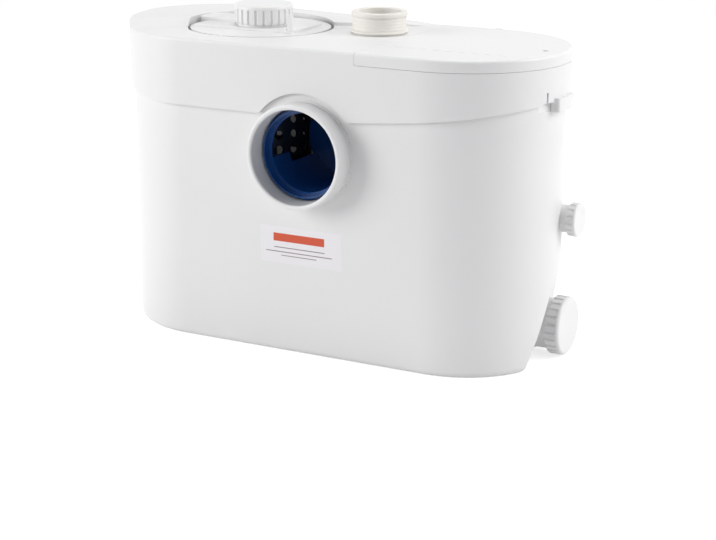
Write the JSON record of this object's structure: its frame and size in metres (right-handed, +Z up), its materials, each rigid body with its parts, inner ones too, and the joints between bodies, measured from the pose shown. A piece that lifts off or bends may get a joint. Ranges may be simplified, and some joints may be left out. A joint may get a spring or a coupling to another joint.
{
  "type": "macerator toilet pump",
  "caption": "White oval tank pump with a round toilet collar, a lid with a screw-capped round access plate, capped side inlets, a discharge sleeve and a motor-driven cutter inside.",
  "frame": {"origin": "middle of the tank's base, on the floor", "axes": "+X along the body to the side inlets, +Y to the back, +Z up; the toilet collar faces -Y"},
  "size_m": [0.4746, 0.229, 0.3237],
  "materials": {
    "white_plastic": "gloss",
    "cream_rubber": "satin",
    "blue_plastic": "gloss",
    "dark_plastic": "matte",
    "grey_plastic": "satin",
    "black_rubber": "matte",
    "grey_acetal": "satin",
    "steel": "brushed",
    "laminated_steel": "satin",
    "cast_aluminium": "satin"
  },
  "bodies": {
    "housing": {"tank": "white_plastic", "base_pads": "black_rubber", "lid_gasket": "black_rubber", "lid": "white_plastic", "recess_ring": "white_plastic", "recess_base": "white_plastic", "dry_tray": "white_plastic", "lid_clip_right": "white_plastic", "lid_clip_left": "white_plastic", "access_plate_seal": "black_rubber", "discharge_sleeve": "cream_rubber", "valve_body": "grey_plastic", "discharge_pipe": "grey_plastic", "inlet_scoop": "blue_plastic", "switch_guard": "dark_plastic", "level_head": "dark_plastic", "dip_tube": "dark_plastic", "diaphragm": "black_rubber", "switch_bridge": "grey_plastic", "microswitch": "grey_plastic", "motor_can": "dark_plastic", "motor_bell": "cast_aluminium", "stator": "laminated_steel", "lower_bearing": "steel", "upper_bearing": "steel", "shaft_seal": "black_rubber", "pump_volute": "dark_plastic", "grinding_ring": "steel", "capacitor": "cast_aluminium", "capacitor_clip": "steel", "terminal_block": "grey_plastic", "cable_gland": "grey_plastic"},
    "drive": {"rotor": "laminated_steel", "motor_shaft": "steel", "impeller": "dark_plastic", "cutter_blades": "steel"},
    "plate": {"access_plate": "white_plastic", "plate_spigot": "white_plastic"},
    "top_seal": {"top_cap_seal": "black_rubber"},
    "top_screw_cap": {"top_cap": "white_plastic"},
    "low_seal": {"low_cap_seal": "black_rubber"},
    "low_screw_cap": {"low_cap": "white_plastic"},
    "small_seal": {"small_cap_seal": "black_rubber"},
    "small_screw_cap": {"small_cap": "white_plastic"},
    "check_flap": {"valve_flap": "black_rubber"},
    "plunger": {"level_plunger": "grey_acetal"},
    "cover": {"service_cover": "white_plastic"}
  },
  "joints": [
    {"name": "motor_spin", "type": "hinge", "parent": "housing", "child": "drive", "pos_m": [0.118, 0, 0.1], "axis": [0, 0, 1], "continuous": true},
    {"name": "plate_lift", "type": "slide", "parent": "housing", "child": "plate", "axis": [0, 0, 1], "range_m": [0, 0.06]},
    {"name": "top_cap_rise", "type": "slide", "parent": "plate", "child": "top_seal", "axis": [0, 0, 1], "range_m": [0, 0.015]},
    {"name": "top_cap_turn", "type": "hinge", "parent": "top_seal", "child": "top_screw_cap", "pos_m": [-0.09, 0, 0.31], "axis": [0, 0, 1], "range_deg": [0, 1080]},
    {"name": "low_cap_travel", "type": "slide", "parent": "housing", "child": "low_seal", "axis": [1, 0, 0], "range_m": [0, 0.012]},
    {"name": "low_cap_turn", "type": "hinge", "parent": "low_seal", "child": "low_screw_cap", "pos_m": [0.2256, 0.025, 0.0307], "axis": [1, 0, 0], "range_deg": [0, 1080]},
    {"name": "small_cap_travel", "type": "slide", "parent": "housing", "child": "small_seal", "axis": [1, 0, 0], "range_m": [0, 0.006]},
    {"name": "small_cap_turn", "type": "hinge", "parent": "small_seal", "child": "small_screw_cap", "pos_m": [0.2353, 0.025, 0.1368], "axis": [1, 0, 0], "range_deg": [0, 1080]},
    {"name": "flap_hinge", "type": "hinge", "parent": "housing", "child": "check_flap", "pos_m": [0.0445, 0.0198, 0.2603], "axis": [0, 1, 0], "range_deg": [0, 60]},
    {"name": "plunger_travel", "type": "slide", "parent": "housing", "child": "plunger", "axis": [0, 0, 1], "range_m": [0, 0.002], "stiffness_N_per_m": 200, "springref_m": -0.002},
    {"name": "cover_lift", "type": "slide", "parent": "housing", "child": "cover", "axis": [0, 0, 1], "range_m": [0, 0.04]}
  ],
  "couplings": [
    {"joint": "top_cap_rise", "follows": "top_cap_turn", "m_per_rad": 0.00079577},
    {"joint": "low_cap_travel", "follows": "low_cap_turn", "m_per_rad": 0.00063662},
    {"joint": "small_cap_travel", "follows": "small_cap_turn", "m_per_rad": 0.00031831}
  ]
}
